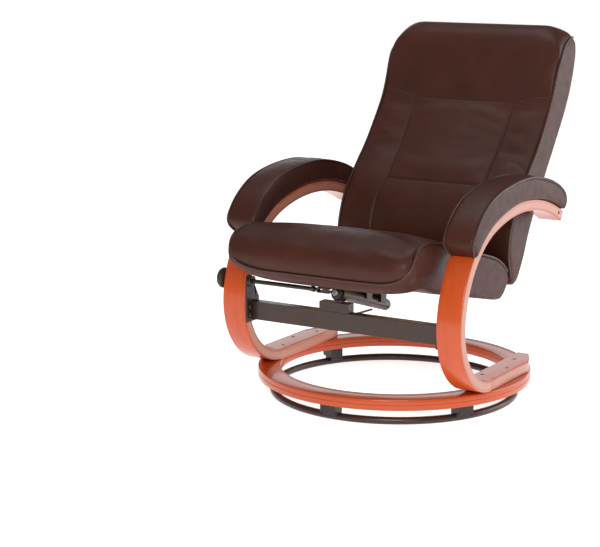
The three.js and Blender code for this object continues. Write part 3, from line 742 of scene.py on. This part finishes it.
def make_back():
    rear = spline(BACK_REAR, 60)
    front = spline(BACK_FRONT, 90)
    ahead = np.gradient(rear, axis=0)
    ahead /= np.linalg.norm(ahead, axis=1)[:, None]
    sunk = rear + np.column_stack([-ahead[:, 1], ahead[:, 0]]) * 0.016
    sunk[-5:] = rear[-5:]
    full = np.vstack([rear, front])
    pocket = np.vstack([sunk, front])

    def shape(ring):
        if abs(ring[0, 0]) < COVER_HALF + 0.001:
            ring[:len(rear), 1:] = pocket[:len(rear)]
        return ring

    points, faces = rounded_form(full, BACK_HALF, 0.008, STATIONS, shape)
    back = remeshed(mesh_object("back_leather", points, faces, [HIDE]), CUSHION_VOXEL)
    set_points(back, shape_back(points_of(back)))

    edges = [spline(BACK_EDGE, 170)]
    edges.append(mirror_line(edges[0]))
    rear_edge = [(0.2505, y, z) for y, z in BACK_REAR[1:]]
    rear_edges = [spline(rear_edge, 120)]
    rear_edges.append(mirror_line(rear_edges[0]))
    head = spline([on_back(x, head_seam_z(x)) for x in np.linspace(-0.2515, 0.2515, 31)], 120)
    panel = [on_back(x, z) for x, z in (
        (0.1470, 0.7195), (0.1440, 0.640), (0.1425, 0.580), (0.1415, 0.519), (0.1475, 0.490),
        (0.1510, 0.455), (0.1515, 0.397), (0.1510, 0.362))]
    channels = [spline(panel, 110)]
    channels.append(mirror_line(channels[0]))
    lumbar = spline([on_back(x, 0.519) for x in np.linspace(-0.1415, 0.1415, 9)], 70)

    rest = points_of(back)
    out = normals_of(back)
    hard = np.clip(1.3 - distance_to([*edges, *rear_edges, head], rest) / 0.010, 0, 1)
    soft = np.clip(1.15 - distance_to([*channels, lumbar], rest) / 0.009, 0, 0.93)
    held = np.maximum(hard, soft)
    facing_rear = (out[:, 1] > 0.35) & (rest[:, 2] < 0.87)
    held = np.maximum(held, facing_rear)
    held = np.maximum(held, np.clip((0.345 - rest[:, 2]) / 0.04, 0, 0.9))
    held = np.maximum(held, 0.6 * (np.abs(out[:, 0]) > 0.7))
    held = np.maximum(held, np.clip((rest[:, 2] - 0.875) / 0.03, 0, 0.85))
    inflated(back, held, 3.0, 0.013, slack=0.004)
    within(back, SWELL_HALF)

    sewn(back, [*edges, head, *channels, lumbar], SEAM_PULL, 0.0034)
    sewn_soft(back, [head, *channels, lumbar], 0.0014, 0.0020)
    folds = [
        spline([on_back(-0.235, 0.640), on_back(-0.215, 0.652), on_back(-0.190, 0.656)], 12),
        spline([on_back(-0.238, 0.610), on_back(-0.218, 0.618), on_back(-0.200, 0.620)], 12),
        spline([on_back(0.238, 0.560), on_back(0.215, 0.572), on_back(0.195, 0.574)], 12),
    ]
    sewn_soft(back, folds, 0.0014, 0.007)

    surface = surface_of(back)
    pipes = []
    for edge, side in zip(edges, (1, -1)):
        line, _ = laid(edge, surface, PIPE * 0.9)
        stub = line[-1] + np.array([side * 0.0012, 0.0032, 0.0022]) * [[0.4], [1.0]]
        pipes.append(tube(np.vstack([line, stub]), PIPE, 10))
    piping = gather("back_piping", pipes, HIDE_PIPING)
    rows = []
    for line, aside in ((head, 0.006), (channels[0], 0.005), (channels[1], -0.005), (lumbar, 0.005)):
        row, row_out = laid(offset_line(line, surface, aside), surface, 0.0)
        rows += stitches(row, row_out)
    # Thin dark tubes laid in the head, channel and lumbar seams: painted shadow in the seam grooves.
    seam_shadow_tubes = [tube(laid(line, surface, 0.0)[0], 0.0007, 6) for line in (head, *channels, lumbar)]
    seams = gather("back_seam_shadows", seam_shadow_tubes, SEAM_DARK)
    thread = gather("back_stitching", rows, THREAD)
    finish_piece(back, "backrest", "brown_leather", "back_cushion")
    finish_piece(piping, "backrest", "brown_leather")
    finish_piece(seams, "backrest", "brown_leather")
    finish_piece(thread, "backrest", "brown_leather")


def make_back_cover():
    """The leather panel over the rear: slightly crowned, with a piped edge."""
    rear = spline(BACK_REAR, 70)[2:66]
    ahead = np.gradient(rear, axis=0)
    ahead /= np.linalg.norm(ahead, axis=1)[:, None]
    outward = np.column_stack([ahead[:, 1], -ahead[:, 0]])
    rings = []
    for (y, z), (ny, nz), along in zip(rear, outward, np.linspace(-1, 1, len(rear))):
        outer, inner = [], []
        for u in ACROSS:
            crown = 0.0065 * (1 - u ** 8) * (1 - along ** 10) - 0.0012
            outer.append((u * COVER_HALF, y + ny * crown, z + nz * crown))
            inner.append((u * COVER_HALF, y - ny * 0.003, z - nz * 0.003))
        rings.append(outer + inner[::-1])
    points, faces = skin(rings)
    cover = mesh_object("back_rear_panel", points, faces, [HIDE])
    finish_piece(cover, "backrest", "brown_leather", "back_cover")
    edge = [(COVER_HALF, y + ny * 0.001, z + nz * 0.001) for (y, z), (ny, nz) in zip(rear, outward)]
    top = [(x, *edge[-1][1:]) for x in np.linspace(COVER_HALF, -COVER_HALF, 30)[1:-1]]
    loop = np.array([*edge, *top, *mirror_line(edge)[::-1]])
    loop = smoothed(loop, 6)
    piping = gather("back_rear_piping", [tube(loop, 0.0024, 8)], HIDE_PIPING)
    finish_piece(piping, "backrest", "brown_leather")


# ---- Side frames --------------------------------------------------------------------------
def strip_at(wanted):
    """A place on the strip's middle line: y, z and its heading in degrees from +Y."""
    y, z, heading = FOOT_FRONT, RING_TOP + 0.0003 + STRIP / 2, 180.0
    for radius, angle in BENDS:
        now = max(wanted, heading - angle)
        y += radius * (math.sin(math.radians(heading)) - math.sin(math.radians(now)))
        z += radius * (math.cos(math.radians(now)) - math.cos(math.radians(heading)))
        heading = now
        if now == wanted:
            break
    return y, z, heading


def off_strip(heading, distance):
    """A point beside the strip's middle line, on its outer side for a positive distance."""
    y, z, _ = strip_at(heading)
    turn = math.radians(heading)
    return y - math.sin(turn) * distance, z + math.cos(turn) * distance


def bar(start, end, radius, sides=24):
    """A plain round cutter between two points."""
    start, end = np.array(start, float), np.array(end, float)
    run = (end - start) / np.linalg.norm(end - start)
    side = np.cross(run, (0.0, 0.3, 1.0))
    side /= np.linalg.norm(side)
    other = np.cross(run, side)
    rings = []
    for point in (start, end):
        rings.append([point + radius * (math.cos(a) * side + math.sin(a) * other)
                      for a in (2 * math.pi * k / sides for k in range(sides))])
    return skin(rings, flip=True)


def bored(piece, bars):
    cutter = gather("cutter", bars, piece.data.materials[1])
    cut = piece.modifiers.new("bore", "BOOLEAN")
    cut.operation = "DIFFERENCE"
    cut.solver = "EXACT"
    cut.object = cutter
    baked(piece)
    bpy.data.objects.remove(cutter)
    return piece


def strip_section(x0, x1, radius=0.003):
    """The strip's rounded section as (x, height) points."""
    ring = []
    high = STRIP / 2 - radius
    corners = ((x1 - radius, high, 0), (x0 + radius, high, 90),
               (x0 + radius, -high, 180), (x1 - radius, -high, 270))
    for cx, ch, start in corners:
        for step in range(5):
            turn = math.radians(start + 22.5 * step)
            ring.append((cx + radius * math.cos(turn), ch + radius * math.sin(turn)))
    return ring


def make_side_frame(side):
    stops = [(y, RING_TOP + 0.0003 + STRIP / 2, 180.0) for y in np.linspace(FOOT_REAR, FOOT_FRONT, 24)]
    heading = 180.0
    for radius, angle in BENDS:
        count = max(8, int(angle / 2.2 * math.sqrt(radius / 0.17)))
        stops += [strip_at(heading - angle * i / count) for i in range(1, count + 1)]
        heading -= angle
    rings = []
    for y, z, heading in stops:
        outer = FRAME_X[1]
        if heading == 180.0:
            outer = min(outer, math.sqrt(FOOT_TRIM ** 2 - (y - SWIVEL_Y) ** 2))
        turn = math.radians(heading)
        ring = []
        for x, height in strip_section(FRAME_X[0], outer):
            ring.append((side * x, y - math.sin(turn) * height, z + math.cos(turn) * height))
        rings.append(ring)
    points, faces = skin(rings, flip=side < 0)
    name = "left" if side > 0 else "right"
    piece = mesh_object(f"bentwood_{name}", points, faces, [CHERRY, CHERRY_PLY_EDGE_AND_SHEEN])
    unwrap_strip(piece, np.array(rings), len(rings[0]))
    cuts = []
    foot_top = RING_TOP + STRIP
    for x, y in FOOT_SCREWS:
        cuts.append(bar((side * x, y, foot_top - 0.0097), (side * x, y, foot_top + 0.01), 0.005))
    y, z = PIVOT
    cuts.append(bar((side * (FRAME_X[0] - 0.01), y, z), (side * (FRAME_X[1] + 0.01), y, z), 0.0048))
    cuts.append(bar((side * (FRAME_X[1] - 0.008), y, z), (side * (FRAME_X[1] + 0.01), y, z), 0.0066))
    if side < 0:
        y, z = LOCK
        cuts.append(bar((-FRAME_X[0] + 0.01, y, z), (-FRAME_X[1] - 0.01, y, z), 0.0066))
    bored(piece, cuts)
    crisp(piece)
    finish_piece(piece, "carriage", "cherry_wood", f"side_frame_{name}")


def unwrap_strip(piece, rings, size):
    """UVs in metres: along the strip, then round its section. Edge faces take the ply material, whose
    paleness is partly painted reflection.
    """
    middle = rings.mean(axis=1)
    along = np.concatenate([[0], np.cumsum(np.linalg.norm(np.diff(middle, axis=0), axis=1))])
    round_it = np.linalg.norm(np.diff(np.vstack([rings[30], rings[30][:1]]), axis=0), axis=1)
    across = np.concatenate([[0], np.cumsum(round_it)])
    layer = piece.data.uv_layers.new(name="strip")
    loops = piece.data.loops
    for face in piece.data.polygons:
        ks = [loops[i].vertex_index for i in face.loop_indices]
        if max(ks) >= len(rings) * size:
            face.material_index = 1
            for i, k in zip(face.loop_indices, ks):
                co = piece.data.vertices[k].co
                layer.data[i].uv = (co.x, co.z)
            continue
        columns = [k % size for k in ks]
        wraps = max(columns) - min(columns) > size / 2
        if set(columns) in ({9, 10}, {0, 19}):
            face.material_index = 1
        for i, k, column in zip(face.loop_indices, ks, columns):
            v = across[column] if not (wraps and column == 0) else across[-1]
            layer.data[i].uv = (along[k // size], v)


def crisp(piece, angle=30):
    piece.data.set_sharp_from_angle(angle=math.radians(angle))


# ---- Wooden ring --------------------------------------------------------------------------
def make_wood_ring():
    inner, outer = RING_RADII
    low, high = RING_BOTTOM, RING_TOP
    middle = (low + high) / 2
    r = 0.0025
    groove = 0.0009
    section = [(outer - r, high), (outer - r * 0.3, high - r * 0.3), (outer, high - r),
               (outer, middle + groove), (outer - groove, middle), (outer, middle - groove),
               (outer, low + r), (outer - r * 0.3, low + r * 0.3), (outer - r, low),
               (inner + r, low), (inner + r * 0.3, low + r * 0.3), (inner, low + r),
               (inner, middle - groove), (inner + groove, middle), (inner, middle + groove),
               (inner, high - r), (inner + r * 0.3, high - r * 0.3), (inner + r, high)]
    count = 192
    points, faces, uvs = [], [], []
    size = len(section)
    lengths = np.linalg.norm(np.diff(np.array([*section, section[0]]), axis=0), axis=1)
    across = np.concatenate([[0], np.cumsum(lengths)])
    for i in range(count):
        turn = 2 * math.pi * i / count
        points += [(radius * math.cos(turn), SWIVEL_Y + radius * math.sin(turn), z) for radius, z in section]
    step = 2 * math.pi * (inner + outer) / 2 / count
    for i in range(count):
        ahead = (i + 1) % count
        for k in range(size):
            n = (k + 1) % size
            faces.append((i * size + k, i * size + n, ahead * size + n, ahead * size + k))
            uvs.append(((i * step, across[k]), (i * step, across[k + 1]),
                        ((i + 1) * step, across[k + 1]), ((i + 1) * step, across[k])))
    ring = mesh_object("ring_wood", points, faces, [CHERRY])
    layer = ring.data.uv_layers.new(name="strip")
    for face, corners in zip(ring.data.polygons, uvs):
        for i, uv in zip(face.loop_indices, corners):
            layer.data[i].uv = uv
    crisp(ring)
    finish_piece(ring, "carriage", "cherry_wood", "wood_ring")


# ---- Arm pads -----------------------------------------------------------------------------
PAD_CROWN = [
    (47.5, 0.030), (46.5, 0.048), (42, 0.0555), (32, 0.063), (16, 0.066), (0, 0.0585), (-12, 0.0525),
    (-20, 0.047), (-24.4, 0.036), (-26, 0.015),
]
PAD_EDGE = [                          # heading, height over the strip, x
    (47.6, 0.003, 0.3290), (48.0, 0.018, 0.3370), (47.4, 0.038, 0.3410), (44.5, 0.051, 0.3420),
    (32, 0.062, 0.3422), (16, 0.065, 0.3422), (0, 0.0578, 0.3422), (-12, 0.0518, 0.3420),
    (-20, 0.0462, 0.3415), (-24.2, 0.035, 0.3410), (-25.7, 0.016, 0.3390), (-26, 0.004, 0.3360),
]


def make_arm_pad(side):
    name = "left" if side > 0 else "right"
    top = [off_strip(h, STRIP / 2 + t) for h, t in spline(np.array(PAD_CROWN) * (0.001, 1), 60) * (1000, 1)]
    bed = [off_strip(h, STRIP / 2 + 0.0008) for h in np.linspace(-26, 47.5, 50)]
    middle = sum(PAD_X) / 2
    half = (PAD_X[1] - PAD_X[0]) / 2

    def shape(ring):
        ring[:, 0] += middle
        return ring

    stations = [-s for s in RIM[::-1]] + [*np.linspace(-1, 1, 13)] + RIM
    points, faces = rounded_form([*top, *bed], half, 0.006, stations, shape)
    pad = remeshed(mesh_object(f"arm_pad_leather_{name}", points, faces, [HIDE]), PAD_VOXEL)
    edge = np.array([(x, *off_strip(h, STRIP / 2 + t)) for h, t, x in PAD_EDGE])
    outer = spline(edge, 130)
    inner = outer * (-1, 1, 1) + (2 * middle, 0, 0)
    rest = points_of(pad)
    bed_line = np.array([(middle, y, z) for y, z in bed])
    held = np.clip(1.3 - distance_to([outer, inner], rest) / 0.008, 0, 1)
    flat = distance_to([bed_line * (0, 1, 1)], rest * (0, 1, 1))
    held = np.maximum(held, np.clip(1.3 - flat / 0.008, 0, 1))
    inflated(pad, held, 3.5, 0.010, slack=0.006)
    if side < 0:
        set_points(pad, points_of(pad) * (-1, 1, 1))
        pad.data.flip_normals()
        outer, inner = mirror_line(outer), mirror_line(inner)
    sewn(pad, [outer, inner], SEAM_PULL * 0.8, 0.003)
    surface = surface_of(pad)
    pipes, rows = [], []
    for line in (outer, inner):
        route, _ = laid(line, surface, PIPE * 0.75)
        pipes.append(tube(route, PIPE * 0.92, 10))
        toward = 0.006 if (line is outer) == (side > 0) else -0.006
        row, row_out = laid(offset_line(line, surface, toward), surface, 0.0)
        rows += stitches(row[4:-4], row_out[4:-4])
    piping = gather(f"arm_pad_piping_{name}", pipes, HIDE_PIPING)
    thread = gather(f"arm_pad_stitching_{name}", rows, THREAD)
    finish_piece(pad, "carriage", "brown_leather", f"arm_pad_{name}")
    finish_piece(piping, "carriage", "brown_leather")
    finish_piece(thread, "carriage", "brown_leather")


# ---- Metal, plastic and ply pieces kept from the frame -------------------------------------
def smoothing_group():
    """Joins the faceted solids' points and shades them smooth, for use as a modifier."""
    group = bpy.data.node_groups.new("weld_and_smooth", "GeometryNodeTree")
    for direction in ("INPUT", "OUTPUT"):
        group.interface.new_socket("Geometry", in_out=direction, socket_type="NodeSocketGeometry")
    start = group.nodes.new("NodeGroupInput")
    weld = group.nodes.new("GeometryNodeMergeByDistance")
    weld.inputs["Distance"].default_value = 0.00002
    bare = group.nodes.new("GeometryNodeRemoveAttribute")
    bare.inputs["Name"].default_value = "custom_normal"
    shade = group.nodes.new("GeometryNodeSetShadeSmooth")
    end = group.nodes.new("NodeGroupOutput")
    chain = (start, weld, bare, shade, end)
    for a, b in zip(chain, chain[1:]):
        group.links.new(a.outputs[0], b.inputs[0])
    return group


def dress_cad_nodes():
    group = smoothing_group()
    finishes = {"black_steel": (STEEL, 0.0006), "bright_steel": (PLATE, 0.0004),
                "black_plastic": (PLASTIC, 0.0008), "plywood": (BIRCH, 0.0005)}
    for part in frame["record"]["subparts"]:
        if part["material_slot"] not in finishes:
            continue
        piece = nodes[part["node"]]
        material, edge = finishes[part["material_slot"]]
        piece.data.materials.clear()
        piece.data.materials.append(material)
        weld = piece.modifiers.new("weld", "NODES")
        weld.node_group = group
        bevel = piece.modifiers.new("edges", "BEVEL")
        bevel.width = edge
        bevel.segments = 2
        bevel.limit_method = "ANGLE"
        bevel.angle_limit = math.radians(38)
        bevel.harden_normals = True


# ---- Floor, light and camera --------------------------------------------------------------
def make_floor():
    """A wide round floor, so that its edge is beyond any view."""
    reach, sides = 70, 64
    points = [(reach * math.cos(a), reach * math.sin(a), -0.0005)
              for a in (2 * math.pi * k / sides for k in range(sides))]
    m = Recipe("studio_floor", 0.75, specular=0.2)
    here = m.place()
    tone = m.ramp(m.noise(here, 0.8, 3), ((0.2, (0.80, 0.80, 0.80)), (0.8, (0.84, 0.84, 0.84))))
    m.link(tone, m.shader.inputs["Base Color"])
    m.shader.inputs["Emission Color"].default_value = (1, 1, 1, 1)
    m.shader.inputs["Emission Strength"].default_value = 0.79
    floor = mesh_object("studio_floor", points, [tuple(range(sides))], [m.material], smooth=False)


def area_light(name, place, aim, size, power, colour=(1, 1, 1)):
    data = bpy.data.lights.new(name, "AREA")
    data.shape = "RECTANGLE"
    data.size, data.size_y = size
    data.energy = power
    data.color = colour
    light = bpy.data.objects.new(name, data)
    light.location = place
    light.rotation_euler = (Vector(aim) - Vector(place)).to_track_quat("-Z", "Y").to_euler()
    scene.collection.objects.link(light)


def make_light():
    world = bpy.data.worlds.new("studio")
    world.use_nodes = True
    world.node_tree.nodes["Background"].inputs["Color"].default_value = (1, 1, 1, 1)
    world.node_tree.nodes["Background"].inputs["Strength"].default_value = 0.27
    scene.world = world
    area_light("rear_right", (3.6, 3.4, 1.5), (0.2, 0, 0.4), (3.6, 2.6), 120)
    area_light("key", (1.7, -3.5, 2.1), (0, 0, 0.5), (1.8, 1.8), 88)
    area_light("top", (-0.4, 0.2, 3.6), (0, 0, 0.4), (2.0, 2.0), 30)
    area_light("backdrop", (-3.3, 5.4, 2.1), (0, 0, 0.9), (7.0, 2.2), 52)
    scene.view_settings.view_transform = "Standard"


def make_camera():
    data = bpy.data.cameras.new("camera")
    data.lens = 102.5
    data.sensor_width = 36
    camera = bpy.data.objects.new("camera", data)
    camera.location = (2.0297, -3.8379, 1.1812)
    aim = Vector((-0.284, -0.072, 0.277)) - camera.location
    camera.rotation_euler = aim.to_track_quat("-Z", "Y").to_euler()
    scene.collection.objects.link(camera)
    scene.camera = camera


make_camera()
make_light()
make_floor()
for side in (1, -1):
    make_side_frame(side)
    make_arm_pad(side)
make_wood_ring()
make_seat()
make_back()
make_back_cover()
dress_cad_nodes()
